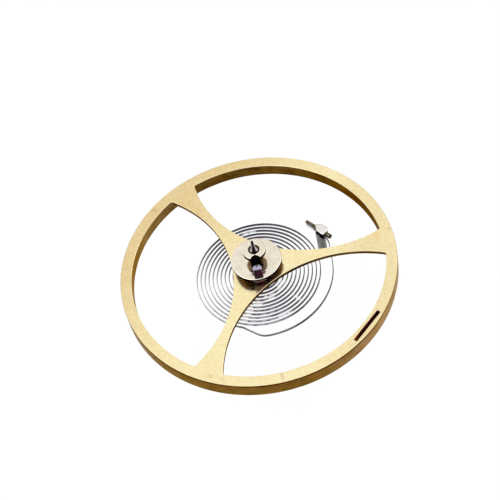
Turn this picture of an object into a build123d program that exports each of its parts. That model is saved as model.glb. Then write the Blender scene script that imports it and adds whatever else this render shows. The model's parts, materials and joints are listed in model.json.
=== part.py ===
from build123d import *
import math
import os

# Balance of a mechanical wristwatch: wheel, staff, double roller, impulse jewel, hairspring and stud.
# Lengths are millimetres and angles are degrees. The staff stands on Z with the tip of its cock-side
# pivot at the origin and the roller side up. One arm lies on +X and the impulse jewel points to -Y.

# Wheel: a rim with thin arms flush with its roller-side face
wheel_radius = 5.0
rim_width = 0.405
rim_height = 0.595
rim_edge_bevel = 0.03
rim_under_bevel = 0.1
arm_count = 3
arm_thickness = 0.15
arm_rim_width = 1.08
web_beyond_hub = 0.46
window_corner = 0.07

# Poising slot milled into the rim's roller-side face
poise_slot_turn = -45.7
poise_slot_length = 1.43
poise_slot_width = 0.143
poise_slot_depth = 0.3
poise_slot_wall = 0.155

# Staff, from its cock-side pivot up to its roller-side pivot
pivot_radius = 0.045
pivot_length = 0.14
pivot_round = 0.03
pivot_cone_length = 0.33
pivot_cone_shoulder = 0.01
pivot_cone_hollow_share = 0.1
collet_seat_radius = 0.27
collet_seat_bevel = 0.04
wheel_seat_step = 0.05
rivet_overhang = 0.05
rivet_height = 0.04
hub_shoulder = 0.13
hub_height = 0.3
hub_bevel = 0.03
roller_seat_radius = 0.2

# Double roller: the table with its jewel, and the safety roller with its neck
table_radius = 0.91
table_thickness = 0.115
table_bevel = 0.025
safety_radius = 0.41
safety_thickness = 0.16
safety_bevel = 0.015
neck_wall = 0.05
neck_length = 0.405
crescent_radius = 0.165
crescent_wall = 0.045

# Impulse jewel and the shellac that holds it
jewel_radius = 0.16
jewel_flat = 0.065
jewel_to_table_edge = 0.07
jewel_above_table = 0.475
jewel_below_table = 0.18
jewel_bevel = 0.012
shellac_radius = 0.25
shellac_thickness = 0.13
shellac_round = 0.065
shellac_to_hub = 0.005

# Collet: split ring that grips the staff and holds the inner end of the hairspring
collet_height = 0.4
collet_bevel = 0.03
collet_slit = 0.05
collet_above_seat_start = 0.19
collet_to_rivet = 0.16
collet_hole_wall = 0.06
collet_hole_room = 0.04
collet_pin_thick_radius = 0.04
collet_pin_thin_radius = 0.034
collet_pin_thick_overhang = 0.06
collet_pin_thin_overhang = 0.01

# Hairspring: flat ribbon wound outwards, counter-clockwise as seen from the roller side
ribbon_thickness = 0.03
ribbon_height = 0.1
coil_pitch = 0.147
collet_to_coil = 0.09625
coil_quarter_turns = 46
coil_end_turn = -114.4
inner_elbow_radius = 0.15
inner_end_overhang = 0.04
dogleg_turn = 15.5
dogleg_first_radius = 0.35
dogleg_second_radius = 0.6
terminal_beyond_coil = 0.365
terminal_end_turn = -2.0
stud_elbow_radius = 0.75
outer_end_overhang = 0.33

# Stud: round post with a pointed head that overhangs it, drilled across for the ribbon and its pin
stud_turn = 29.5
stud_beyond_terminal = 0.156
stud_hole_turn = 9.5
stud_post_radius = 0.17
stud_post_length = 1.15
stud_post_bevel = 0.03
stud_nose_length = 0.26
stud_nose_bevel = 0.19
stud_tail_length = 0.3
stud_far_bevel = 0.1
stud_near_bevel = 0.03
stud_cap_wall = 0.043
stud_near_wall = 0.025
stud_far_wall = 0.085
stud_hole_room = 0.03
stud_pin_thick_radius = 0.087
stud_pin_thin_radius = 0.06
stud_pin_thick_overhang = 0.195
stud_pin_thin_overhang = 0.43

# Room between the ribbon and its pins, and how far cuts run past what they cut
ribbon_to_pin = 0.005
cut_overrun = 0.1

# Spacing of the points that the gap between turns is measured on
gap_point_spacing = 0.2

# Radii worked out from the sizes above, from the staff outwards
pivot_cone_radius = roller_seat_radius - pivot_cone_shoulder
wheel_seat_radius = collet_seat_radius + wheel_seat_step
rivet_radius = wheel_seat_radius + rivet_overhang
hub_radius = wheel_seat_radius + hub_shoulder
window_to_axis = hub_radius + web_beyond_hub
rim_inner_radius = wheel_radius - rim_width
neck_radius = roller_seat_radius + neck_wall
crescent_to_axis = roller_seat_radius + crescent_wall + crescent_radius
jewel_to_axis = table_radius - jewel_to_table_edge - jewel_flat
collet_hole_radius = collet_pin_thick_radius + collet_hole_room
collet_hole_to_axis = collet_seat_radius + collet_hole_wall + collet_hole_radius
collet_radius = collet_hole_to_axis + collet_hole_radius + collet_hole_wall
collet_pin_to_axis = collet_hole_to_axis - collet_hole_room
ribbon_in_collet = collet_pin_to_axis + collet_pin_thick_radius + ribbon_to_pin + ribbon_thickness / 2
coil_step = coil_pitch / 4
coil_start_turn = coil_end_turn - 90 * coil_quarter_turns
coil_inner_radius = collet_radius + collet_to_coil
coil_outer_radius = coil_inner_radius + coil_step * (coil_quarter_turns - 1)
terminal_radius = coil_outer_radius + terminal_beyond_coil
stud_to_axis = terminal_radius + stud_beyond_terminal
stud_hole_radius = stud_pin_thick_radius + stud_hole_room
stud_head_height = 2 * (stud_hole_radius + stud_cap_wall)
stud_across_turn = stud_turn + stud_hole_turn
stud_hole_to_axis = stud_to_axis * math.cos(math.radians(stud_hole_turn))
stud_hole_along = -stud_to_axis * math.sin(math.radians(stud_hole_turn))
stud_ribbon_inwards = stud_pin_thick_radius + ribbon_to_pin + ribbon_thickness / 2 - stud_hole_room
stud_ribbon_to_axis = stud_hole_to_axis - stud_ribbon_inwards

# Heights worked out from the sizes above, from the cock-side pivot up
collet_seat_start = pivot_length + pivot_cone_length
collet_underside = collet_seat_start + collet_above_seat_start
ribbon_level = collet_underside + collet_height / 2
collet_top = collet_underside + collet_height
wheel_underside = collet_top + collet_to_rivet + rivet_height
wheel_top = wheel_underside + arm_thickness
hub_top = wheel_top + hub_height
table_top = hub_top + table_thickness
safety_underside = table_top + neck_length
safety_top = safety_underside + safety_thickness
staff_length = safety_top + pivot_cone_length + pivot_length
above = (Align.CENTER, Align.CENTER, Align.MIN)


def direction(turn):
    """Unit vector in the plane of the wheel at an angle from +X."""
    return Vector(math.cos(math.radians(turn)), math.sin(math.radians(turn)), 0)


def turn_of(vector):
    """Angle from +X of a vector in the plane of the wheel."""
    return math.degrees(math.atan2(vector.Y, vector.X))


def disc(radius, bottom, top):
    """Plain cylinder on the staff's axis between two heights."""
    return Pos(0, 0, bottom) * Cylinder(radius, top - bottom, align=above)


def circle_edges(solid, radius, height):
    """Round edges of one radius, centred on the axis, that lie at one height."""
    rounds = solid.edges().filter_by(GeomType.CIRCLE).filter_by_position(Axis.Z, height, height)
    return [edge for edge in rounds if math.isclose(edge.radius, radius)]


def window():
    """Window between two arms: the rim's inner circle, the arms' waist and a rounding in each corner."""
    half_arm = math.degrees(math.asin(arm_rim_width / 2 / rim_inner_radius))
    corner = direction(180 / arm_count - half_arm) * rim_inner_radius
    sagitta = corner.X - window_to_axis
    waist_radius = (sagitta**2 + corner.Y**2) / (2 * sagitta)
    waist_centre = Vector(window_to_axis + waist_radius, 0, 0)
    to_axis = rim_inner_radius - window_corner
    to_waist_centre = waist_radius - window_corner
    along = (to_axis**2 - to_waist_centre**2 + waist_centre.X**2) / (2 * waist_centre.X)
    beside = math.sqrt(to_axis**2 - along**2)
    rim_turn = math.degrees(math.atan2(beside, along))
    waist_turn = math.degrees(math.atan2(beside, along - waist_centre.X))
    edges = [
        CenterArc((0, 0), rim_inner_radius, -rim_turn, 2 * rim_turn),
        CenterArc((along, beside), window_corner, rim_turn, waist_turn - rim_turn),
        CenterArc(waist_centre, waist_radius, waist_turn, 360 - 2 * waist_turn),
        CenterArc((along, -beside), window_corner, -waist_turn, waist_turn - rim_turn),
    ]
    return make_face(edges)


def balance_wheel():
    rim = disc(wheel_radius, wheel_top - rim_height, wheel_top)
    rim -= disc(rim_inner_radius, wheel_top - rim_height - cut_overrun, wheel_top + cut_overrun)
    rim_underside = wheel_top - rim_height
    rim = chamfer(circle_edges(rim, rim_inner_radius, rim_underside), rim_under_bevel)
    rim = chamfer(circle_edges(rim, wheel_radius, rim_underside), rim_edge_bevel)

    web = disc((rim_inner_radius + wheel_radius) / 2, wheel_underside, wheel_top)
    opening = extrude(window(), arm_thickness + 2 * cut_overrun)
    for number in range(arm_count):
        turn = 360 / arm_count * (number + 1 / 2)
        web -= Pos(0, 0, wheel_underside - cut_overrun) * Rot(0, 0, turn) * opening

    wheel = rim + web
    wheel -= disc(wheel_seat_radius, wheel_underside - cut_overrun, wheel_top + cut_overrun)
    wheel = chamfer(circle_edges(wheel, wheel_radius, wheel_top), rim_edge_bevel)
    return wheel - poise_slot()


def poise_slot():
    slot_centre = wheel_radius - poise_slot_wall - poise_slot_width / 2
    slot = Box(poise_slot_width, poise_slot_length, poise_slot_depth + cut_overrun, align=above)
    slot_floor = wheel_top - poise_slot_depth
    return Rot(0, 0, poise_slot_turn) * Pos(slot_centre, 0, slot_floor) * slot


def balance_staff():
    cock_pivot_root = (pivot_radius, pivot_length)
    cock_cone_root = (pivot_cone_radius, collet_seat_start)
    roller_cone_root = (pivot_cone_radius, safety_top)
    roller_pivot_root = (pivot_radius, safety_top + pivot_cone_length)
    hollow = (pivot_cone_radius - pivot_radius) * pivot_cone_hollow_share
    outline = [
        Line((0, 0), (pivot_radius - pivot_round, 0)),
        Line((pivot_radius - pivot_round, 0), (pivot_radius, pivot_round)),
        Line((pivot_radius, pivot_round), cock_pivot_root),
        SagittaArc(cock_pivot_root, cock_cone_root, -hollow),
        Polyline(
            cock_cone_root,
            (collet_seat_radius - collet_seat_bevel, collet_seat_start),
            (collet_seat_radius, collet_seat_start + collet_seat_bevel),
            (collet_seat_radius, wheel_underside - rivet_height),
            (wheel_seat_radius, wheel_underside - rivet_height),
            (rivet_radius, wheel_underside),
            (wheel_seat_radius, wheel_underside),
            (wheel_seat_radius, wheel_top),
            (hub_radius, wheel_top),
            (hub_radius, hub_top - hub_bevel),
            (hub_radius - hub_bevel, hub_top),
            (roller_seat_radius, hub_top),
            (roller_seat_radius, safety_top),
            roller_cone_root,
        ),
        SagittaArc(roller_cone_root, roller_pivot_root, -hollow),
        Line(roller_pivot_root, (pivot_radius, staff_length - pivot_round)),
        Line((pivot_radius, staff_length - pivot_round), (pivot_radius - pivot_round, staff_length)),
        Line((pivot_radius - pivot_round, staff_length), (0, staff_length)),
        Line((0, staff_length), (0, 0)),
    ]
    profile = Plane.XZ * make_face(Curve() + outline)
    return revolve(profile, Axis.Z)


def jewel_outline():
    """D shape, flat towards -Y and round towards the staff."""
    whole = Circle(jewel_radius)
    cut_side = 2 * (jewel_radius + cut_overrun)
    cut = Pos(0, -jewel_flat) * Rectangle(cut_side, cut_side, align=(Align.CENTER, Align.MAX))
    return Pos(0, -jewel_to_axis) * (whole - cut)


def roller_table():
    table = disc(table_radius, hub_top, table_top)
    table = chamfer(circle_edges(table, table_radius, table_top), table_bevel)
    table -= disc(roller_seat_radius, hub_top - cut_overrun, table_top + cut_overrun)
    jewel_hole = extrude(jewel_outline(), table_thickness + 2 * cut_overrun)
    return table - Pos(0, 0, hub_top - cut_overrun) * jewel_hole


def safety_roller():
    roller = disc(safety_radius, safety_underside, safety_top)
    roller = chamfer(circle_edges(roller, safety_radius, safety_top), safety_bevel)
    roller += disc(neck_radius, table_top, safety_underside)
    roller -= disc(roller_seat_radius, table_top - cut_overrun, safety_top + cut_overrun)
    crescent = disc(crescent_radius, table_top - cut_overrun, safety_top + cut_overrun)
    return roller - Pos(0, -crescent_to_axis, 0) * crescent


def impulse_jewel():
    length = jewel_below_table + table_thickness + jewel_above_table
    jewel = Pos(0, 0, hub_top - jewel_below_table) * extrude(jewel_outline(), length)
    return chamfer(jewel.faces().sort_by(Axis.Z)[-1].edges(), jewel_bevel)


def shellac_bead():
    bead = disc(shellac_radius, hub_top - shellac_thickness, hub_top)
    bead = fillet(circle_edges(bead, shellac_radius, hub_top - shellac_thickness), shellac_round)
    below = hub_top - shellac_thickness - cut_overrun
    jewel_hole = Pos(0, 0, below) * extrude(jewel_outline(), shellac_thickness + 2 * cut_overrun)
    inside_table = disc(table_radius - table_bevel, below, hub_top)
    beyond_hub = disc(hub_radius + shellac_to_hub, below, hub_top + cut_overrun)
    bead = Pos(0, -jewel_to_axis, 0) * bead
    return (bead & inside_table) - beyond_hub - jewel_hole


def coil_centre(number):
    """Centre of one quarter turn of the coil: the four centres lie in a small square round the axis."""
    start = coil_start_turn
    centre = (direction(start + 90) - direction(start)) * (coil_step / 2)
    for quarter in range(number):
        centre -= direction(start + 90 * (quarter + 1)) * coil_step
    return centre


def coil_radius(number):
    """Radius of one quarter turn of the coil, counted from the inside."""
    return coil_inner_radius + coil_step * number


def inner_elbow():
    """Centre of the bend between the collet's hole and the coil."""
    return coil_centre(0) + direction(coil_start_turn) * (coil_radius(0) - inner_elbow_radius)


def collet_across_turn():
    """Angle square to the collet's hole, so that the ribbon runs from the hole into the bend."""
    elbow = inner_elbow()
    inward = (ribbon_in_collet - inner_elbow_radius) / elbow.length
    return turn_of(elbow) - math.degrees(math.acos(inward))


def inner_run():
    """Ribbon through the collet and round the bend to the coil."""
    across = collet_across_turn()
    elbow = inner_elbow()
    half_chord = math.sqrt(collet_radius**2 - ribbon_in_collet**2)
    foot = direction(across) * ribbon_in_collet
    inner_end = foot - direction(across + 90) * (half_chord + inner_end_overhang)
    straight = Line(inner_end, elbow + direction(across) * inner_elbow_radius)
    bend = CenterArc(elbow, inner_elbow_radius, across, (coil_start_turn - across) % 360)
    return [straight, bend]


def coil():
    """Quarter turns, each a little larger than the last."""
    turns = []
    for number in range(coil_quarter_turns):
        start = coil_start_turn + 90 * number
        turns.append(CenterArc(coil_centre(number), coil_radius(number), start, 90))
    return turns


def terminal_run(coil_end):
    """Dog-leg out of the coil, then the arc that the regulator's pins would hold."""
    first = coil_end + direction(coil_end_turn) * dogleg_first_radius
    outward = CenterArc(first, dogleg_first_radius, coil_end_turn + 180, -dogleg_turn)
    heading = coil_end_turn + 90 - dogleg_turn
    left = direction(heading + 90)
    offset = outward @ 1 + left * dogleg_second_radius
    reach = terminal_radius - dogleg_second_radius
    run = math.sqrt(reach**2 - offset.dot(left) ** 2) - offset.dot(direction(heading))
    second = offset + direction(heading) * run
    straight = Line(outward @ 1, second - left * dogleg_second_radius)
    arrival = turn_of(second)
    inward = CenterArc(second, dogleg_second_radius, heading - 90, arrival - heading + 90)
    terminal = CenterArc((0, 0), terminal_radius, arrival, terminal_end_turn - arrival)
    return [outward, straight, inward, terminal]


def stud_run(terminal_end):
    """Straight out of the terminal arc, a wide bend, and the straight end through the stud."""
    across = stud_across_turn
    swing = math.radians(across - terminal_end_turn)
    reach = terminal_radius - stud_elbow_radius
    run = (stud_ribbon_to_axis - stud_elbow_radius - reach * math.cos(swing)) / math.sin(swing)
    elbow = direction(terminal_end_turn) * reach + direction(terminal_end_turn + 90) * run
    straight = Line(terminal_end, elbow + direction(terminal_end_turn) * stud_elbow_radius)
    bend = CenterArc(elbow, stud_elbow_radius, terminal_end_turn, across - terminal_end_turn)
    tail = stud_hole_along + stud_nose_length + outer_end_overhang
    outer_end = direction(across) * stud_ribbon_to_axis + direction(across + 90) * tail
    return [straight, bend, Line(bend @ 1, outer_end)]


def hairspring_path():
    """Middle line of the ribbon, from its end in the collet to its end in the stud."""
    path = inner_run() + coil()
    path += terminal_run(path[-1] @ 1)
    path += stud_run(path[-1] @ 1)
    return Wire([piece.edge() for piece in path])


def hairspring(path):
    facing = Plane(origin=path @ 0, x_dir=(0, 0, 1), z_dir=path % 0)
    section = facing * Rectangle(ribbon_height, ribbon_thickness)
    return Pos(0, 0, ribbon_level) * sweep(section, path)


def least_gap(path):
    """Least clear distance between neighbouring turns, measured on points along the path."""
    count = round(path.length / gap_point_spacing)
    points = [path @ (number / count) for number in range(count + 1)]
    apart = math.ceil(2 * coil_pitch / gap_point_spacing)
    middle_gap = path.length
    for number, point in enumerate(points):
        for other in points[number + apart :]:
            middle_gap = min(middle_gap, (point - other).length)
    return middle_gap - ribbon_thickness


def collet():
    ring = disc(collet_radius, collet_underside, collet_top)
    ends = circle_edges(ring, collet_radius, collet_underside)
    ends += circle_edges(ring, collet_radius, collet_top)
    ring = chamfer(ends, collet_bevel)
    ring -= disc(collet_seat_radius, collet_underside - cut_overrun, collet_top + cut_overrun)
    across = collet_across_turn()
    hole = Cylinder(collet_hole_radius, 2 * (collet_radius + cut_overrun))
    hole = Rot(0, 0, across) * Pos(collet_hole_to_axis, 0, ribbon_level) * Rot(90, 0, 0) * hole
    slit_length = collet_radius + cut_overrun
    slit_height = collet_height + 2 * cut_overrun
    outwards = (Align.MIN, Align.CENTER, Align.MIN)
    slit = Box(slit_length, collet_slit, slit_height, align=outwards)
    slit = Pos(0, 0, collet_underside - cut_overrun) * Rot(0, 0, across + 180) * slit
    return ring - hole - slit


def taper_pin(thick_radius, thin_radius, length):
    """Taper pin on its own Z axis, thick end at the bottom."""
    return Cone(thick_radius, thin_radius, length, align=above)


def collet_pin():
    half_chord = math.sqrt(collet_radius**2 - collet_pin_to_axis**2)
    length = 2 * half_chord + collet_pin_thick_overhang + collet_pin_thin_overhang
    pin = taper_pin(collet_pin_thick_radius, collet_pin_thin_radius, length)
    pin = Pos(0, -half_chord - collet_pin_thick_overhang, 0) * Rot(-90, 0, 0) * pin
    return Rot(0, 0, collet_across_turn()) * Pos(collet_pin_to_axis, 0, ribbon_level) * pin


def stud_place():
    """Place of the stud's head, with its hole along the local Y."""
    centre = direction(stud_turn) * stud_to_axis
    return Pos(centre.X, centre.Y, ribbon_level) * Rot(0, 0, stud_across_turn)


def stud():
    near = -stud_hole_radius - stud_near_wall
    far = stud_hole_radius + stud_far_wall
    outline = Polyline(
        ((near + far) / 2, stud_nose_length),
        (near, stud_nose_length - stud_nose_bevel),
        (near, stud_near_bevel - stud_tail_length),
        (near + stud_near_bevel, -stud_tail_length),
        (far - stud_far_bevel, -stud_tail_length),
        (far, stud_far_bevel - stud_tail_length),
        (far, stud_nose_length - stud_nose_bevel),
        close=True,
    )
    head = Pos(0, 0, -stud_head_height / 2) * extrude(make_face(outline), stud_head_height)
    post = Cylinder(stud_post_radius, stud_post_length, align=above)
    post = chamfer(post.edges().filter_by(GeomType.CIRCLE).sort_by(Axis.Z)[0], stud_post_bevel)
    post = Pos(0, 0, -stud_head_height / 2 - stud_post_length) * post
    hole = Rot(90, 0, 0) * Cylinder(stud_hole_radius, 2 * (stud_tail_length + cut_overrun))
    return stud_place() * (head + post - hole)


def stud_pin():
    length = stud_nose_length + stud_tail_length + stud_pin_thick_overhang + stud_pin_thin_overhang
    pin = taper_pin(stud_pin_thick_radius, stud_pin_thin_radius, length)
    thick_end = -stud_tail_length - stud_pin_thick_overhang
    return stud_place() * Pos(stud_hole_room, thick_end, 0) * Rot(-90, 0, 0) * pin


def main():
    os.makedirs("parts", exist_ok=True)
    path = hairspring_path()
    pieces = {
        "balance_wheel": balance_wheel(),
        "balance_staff": balance_staff(),
        "roller_table": roller_table(),
        "safety_roller": safety_roller(),
        "impulse_jewel": impulse_jewel(),
        "shellac_bead": shellac_bead(),
        "collet": collet(),
        "collet_pin": collet_pin(),
        "hairspring": hairspring(path),
        "stud": stud(),
        "stud_pin": stud_pin(),
    }
    for name, solid in pieces.items():
        export_step(solid, f"parts/{name}.step")
        print(name, "volume", round(solid.volume, 4))
    print("hairspring length", round(path.length, 2), "least gap to itself", round(least_gap(path), 3))
    expected = path.length * ribbon_thickness * ribbon_height
    print("hairspring section times length", round(expected, 4))


main()
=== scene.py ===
import json
from math import acos, asin, atan2, cos, degrees, pi, radians, sin, sqrt

import bmesh
import bpy
from mathutils import Matrix, Vector
from mathutils.geometry import tessellate_polygon


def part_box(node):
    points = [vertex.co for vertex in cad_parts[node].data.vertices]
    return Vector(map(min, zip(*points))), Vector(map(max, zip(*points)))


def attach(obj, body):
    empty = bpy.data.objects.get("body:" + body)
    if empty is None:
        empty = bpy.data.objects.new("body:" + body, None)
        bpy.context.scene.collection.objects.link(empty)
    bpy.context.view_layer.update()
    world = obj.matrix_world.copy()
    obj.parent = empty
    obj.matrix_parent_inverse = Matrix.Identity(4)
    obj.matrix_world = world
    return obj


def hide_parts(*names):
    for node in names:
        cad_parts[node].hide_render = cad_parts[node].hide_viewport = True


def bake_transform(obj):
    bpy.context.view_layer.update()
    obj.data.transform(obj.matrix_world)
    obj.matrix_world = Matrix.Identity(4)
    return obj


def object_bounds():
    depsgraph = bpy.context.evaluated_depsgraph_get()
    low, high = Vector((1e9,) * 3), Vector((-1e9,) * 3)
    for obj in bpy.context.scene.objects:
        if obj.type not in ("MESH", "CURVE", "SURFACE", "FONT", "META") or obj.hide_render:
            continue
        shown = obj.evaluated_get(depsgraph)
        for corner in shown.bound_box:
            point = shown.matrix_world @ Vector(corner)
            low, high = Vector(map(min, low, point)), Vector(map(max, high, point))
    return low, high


# Balance of a wristwatch, dressed: gilt wheel, steel staff and rollers, ruby, flat hairspring and stud.
# Shapes are drawn in millimetres and turned to metres when a piece is finished.

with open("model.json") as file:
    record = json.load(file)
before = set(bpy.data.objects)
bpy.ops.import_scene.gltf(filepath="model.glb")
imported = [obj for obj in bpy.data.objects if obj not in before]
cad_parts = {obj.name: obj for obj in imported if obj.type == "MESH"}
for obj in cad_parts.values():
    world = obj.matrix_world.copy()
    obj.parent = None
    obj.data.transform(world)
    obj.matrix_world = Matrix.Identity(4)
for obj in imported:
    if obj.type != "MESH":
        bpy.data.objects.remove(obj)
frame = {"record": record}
cadLow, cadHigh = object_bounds()
mm = 0.001
print("frame loaded")


def boxOf(node):
    low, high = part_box(node)
    return low / mm, high / mm


wheelLow, wheelHigh = boxOf("balance_wheel")
staffHigh = boxOf("balance_staff")[1]
tableLow, tableHigh = boxOf("roller_table")
safetyHigh = boxOf("safety_roller")[1]
jewelLow, jewelHigh = boxOf("impulse_jewel")
shellacLow, shellacHigh = boxOf("shellac_bead")
colletLow, colletHigh = boxOf("collet")
springLow, springHigh = boxOf("hairspring")
studLow = boxOf("stud")[0]
springLevel = (springLow.z + springHigh.z) / 2
studMount = next(m for m in frame["record"]["mounts"] if m["name"] == "stud_post")


# Materials

def linear(code):
    # sRGB hex to the linear colour that a socket takes
    parts = [int(code[start:start + 2], 16) / 255 for start in (1, 3, 5)]
    return [p / 12.92 if p <= 0.04045 else ((p + 0.055) / 1.055) ** 2.4 for p in parts] + [1.0]


def direction(turn):
    return Vector((cos(radians(turn)), sin(radians(turn))))


def addNode(tree, kind, inputs=(), **settings):
    # adds a node, sets its properties, and fills or links its inputs
    made = tree.nodes.new(kind if "Node" in kind else "ShaderNode" + kind)
    for name, value in settings.items():
        setattr(made, name, value)
    for name, value in dict(inputs).items():
        if isinstance(value, bpy.types.NodeSocket):
            tree.links.new(value, made.inputs[name])
        else:
            made.inputs[name].default_value = value
    return made


def numberMath(tree, operation, *values):
    return addNode(tree, "Math", dict(enumerate(values)), operation=operation).outputs[0]


def vectorMath(tree, operation, *values):
    made = addNode(tree, "VectorMath", dict(enumerate(values)), operation=operation)
    return made.outputs["Value" if operation in ("DOT_PRODUCT", "LENGTH") else "Vector"]


def newMaterial(name, metallic, roughness, code, others=()):
    made = bpy.data.materials.new(name)
    made.use_nodes = True
    values = {"Metallic": metallic, "Roughness": roughness, "Base Color": linear(code), **dict(others)}
    for socket, value in values.items():
        made.node_tree.nodes["Principled BSDF"].inputs[socket].default_value = value
    return made, made.node_tree


def coloured(made, colour, glancing=None):
    # the colour, and what a metal's mirror turns to at a glancing view: dark walls stay coloured there
    inputs = made.node_tree.nodes["Principled BSDF"].inputs
    made.node_tree.links.new(colour, inputs["Base Color"])
    if glancing:
        inputs["Specular Tint"].default_value = linear(glancing)
    return made


def ownPlace(tree):
    return addNode(tree, "TexCoord").outputs["Object"]


def speckle(tree, size, detail=2.0, stretch=(1, 1, 1)):
    # noise whose grain is size millimetres, in the object's own coordinates
    scaled = addNode(tree, "Mapping", {"Vector": ownPlace(tree), "Scale": stretch}).outputs[0]
    inputs = {"Vector": scaled, "Scale": 1 / (size * mm), "Detail": detail}
    return addNode(tree, "TexNoise", inputs).outputs["Fac"]


def blend(tree, share, first, second):
    made = addNode(tree, "Mix", {"Factor": share}, data_type="RGBA")
    for socket, value in zip(made.inputs[6:8], (first, second)):
        if isinstance(value, bpy.types.NodeSocket):
            tree.links.new(value, socket)
        else:
            socket.default_value = linear(value)
    return made.outputs[2]


def ramp(tree, value, low, high):
    inputs = {"Value": value, "From Min": low, "From Max": high}
    return addNode(tree, "MapRange", inputs, interpolation_type="SMOOTHSTEP").outputs["Result"]


def mottled(tree, size, first, second, low=0.3, high=0.7, detail=2.0):
    # two colours mixed by a speckle
    return blend(tree, ramp(tree, speckle(tree, size, detail), low, high), first, second)


def roughen(tree, size, depth):
    # bump from a speckle, depth millimetres from low to high
    bump = addNode(tree, "Bump", {"Height": speckle(tree, size), "Distance": depth * mm})
    tree.links.new(bump.outputs[0], tree.nodes["Principled BSDF"].inputs["Normal"])


def outwards(tree):
    # the place seen along the axis, and the way out from the axis to it
    flat = vectorMath(tree, "MULTIPLY", ownPlace(tree), (1, 1, 0))
    return flat, vectorMath(tree, "NORMALIZE", flat)


def towards(tree, turn, start, end):
    # 0 to 1 across the object along one direction, between two distances from the axis in millimetres
    along = vectorMath(tree, "DOT_PRODUCT", ownPlace(tree), (*direction(turn), 0))
    return ramp(tree, along, start * mm, end * mm)


def beyond(tree, turn, start, end):
    # 0 to 1 as the way out from the axis comes round to one direction, by the cosine between them
    near = vectorMath(tree, "DOT_PRODUCT", outwards(tree)[1], (*direction(turn), 0))
    return ramp(tree, near, start, end)


def aroundStaff(tree):
    # how far round to either side of the staff, 0 to 1, and the distance from its axis
    flat, way = outwards(tree)
    across = addNode(tree, "SeparateXYZ", {0: way}).outputs["X"]
    return numberMath(tree, "ABSOLUTE", across), vectorMath(tree, "LENGTH", flat)


def facingUp(tree, start, end):
    # 0 to 1 as a face turns from facing the cock side to facing the roller side
    facing = addNode(tree, "NewGeometry").outputs["Normal"]
    return ramp(tree, addNode(tree, "SeparateXYZ", {0: facing}).outputs["Z"], start, end)


def marked(tree, colour, marks):
    # lays soft oval marks over a colour: place, half sizes, turn, their colour and their strength
    place = ownPlace(tree)
    for x, y, across, along, turn, code, strength in marks:
        local = addNode(tree, "Mapping", {
            "Vector": place, "Location": (x * mm, y * mm, 0), "Rotation": (0, 0, radians(turn)),
            "Scale": (across * mm, along * mm, 1),
        }, vector_type="TEXTURE").outputs[0]
        reach = vectorMath(tree, "LENGTH", vectorMath(tree, "MULTIPLY", local, (1, 1, 0)))
        share = numberMath(tree, "MULTIPLY", ramp(tree, reach, 1.0, 0.55), strength)
        colour = blend(tree, share, colour, code)
    return colour


def giltGrained():
    # Gilt copper alloy, grained by the finishing lap: satin pale gold that mirrors only what is close to it
    made, tree = newMaterial("giltGrained", 1.0, 0.2, "#f4dd9f")
    # painted light: the face is darker towards -X and +Y, and a little darker again at the rim towards +X
    toneAndShade = blend(tree, towards(tree, -45, -4.6, 0.2), "#e0c48e", "#fef1c0")
    toneAndShade = blend(tree, towards(tree, -10, 2.4, 3.8), toneAndShade, "#f3e2b4")
    warm = mottled(tree, 1.6, "#f0d692", "#faeab8", 0.35, 0.65)
    fine = mottled(tree, 0.09, "#dabd78", "#fff3cb", detail=3.0)
    mixed = blend(tree, 0.25, blend(tree, 0.2, toneAndShade, warm), fine)
    return coloured(made, marked(tree, mixed, wheelMarks))


def giltTurned(name, plain, paintedSheen, turn, glancing):
    # Gilt wall left from the lathe, with fine rings round the axis: browner than the grained face, a painted
    # dark reflection, and paler on the rim where the wall faces +X, painted light
    made, tree = newMaterial(name, 1.0, 0.38, plain[1])
    rings = speckle(tree, 0.05, 2.0, (0.05, 0.05, 1))
    mixed = ramp(tree, numberMath(tree, "MULTIPLY", rings, speckle(tree, 0.5)), 0.12, 0.36)
    onRim = ramp(tree, aroundStaff(tree)[1], 4.3 * mm, 4.5 * mm)
    share = numberMath(tree, "MULTIPLY", beyond(tree, turn, 0.4, 0.95), onRim)
    both = [blend(tree, mixed, *pair) for pair in (plain, paintedSheen)]
    return coloured(made, blend(tree, share, *both), glancing)


def giltCut():
    # Edge broken with a stone: bare bright gilt line
    made, tree = newMaterial("giltCutEdge", 1.0, 0.3, "#fff2c4")
    return coloured(made, mottled(tree, 0.2, "#f3dfa4", "#fff4cd"))


def giltWornEdge():
    # Outer edge that the gilding has worn off: oxidised brown copper alloy, with painted light making it
    # paler on the right
    made, tree = newMaterial("giltWornEdge", 1.0, 0.35, "#5d3312")
    worn = mottled(tree, 0.4, "#4e2a0e", "#6f4019")
    return coloured(made, blend(tree, beyond(tree, 0, 0.55, 0.85), worn, "#9c7c44"), "#8a5a30")


def giltMilled():
    # Slot left from the mill and gilded thinly: dark red-brown where little light comes in
    made, tree = newMaterial("giltMilled", 0.2, 0.6, "#7d1a0a")
    deep = mottled(tree, 0.15, "#4c0b0a", "#701a0d")
    return coloured(made, blend(tree, towards(tree, 224.3, 0.25, 0.7), deep, "#b8601e"))


def polishedSteel(name, pale, dark, roughness, glancing=None):
    # Hardened steel polished flat on tin: mirror with the faintest haze
    made, tree = newMaterial(name, 1.0, roughness, pale)
    roughen(tree, 0.02, 0.0002)
    return coloured(made, mottled(tree, 0.25, dark, pale), glancing)


def rollerCut():
    # Broken edges of both rollers: bright in front, grey behind where they mirror the dark arms
    made, tree = newMaterial("rollerCutEdge", 1.0, 0.2, "#fffaf0")
    haze = mottled(tree, 0.25, "#fbf3e6", "#fffaf0")
    return coloured(made, blend(tree, beyond(tree, 60, 0.1, 0.7), haze, "#b3a596"))


def rollerUnder():
    # Underside of the table: painted shade, bronze-brown and darkest round the jewel
    made, tree = newMaterial("rollerUnderside", 1.0, 0.25, "#7a5424")
    return coloured(made, marked(tree, mottled(tree, 0.25, "#573a16", "#70501f"), [underShade]), "#6b4a20")


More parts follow.
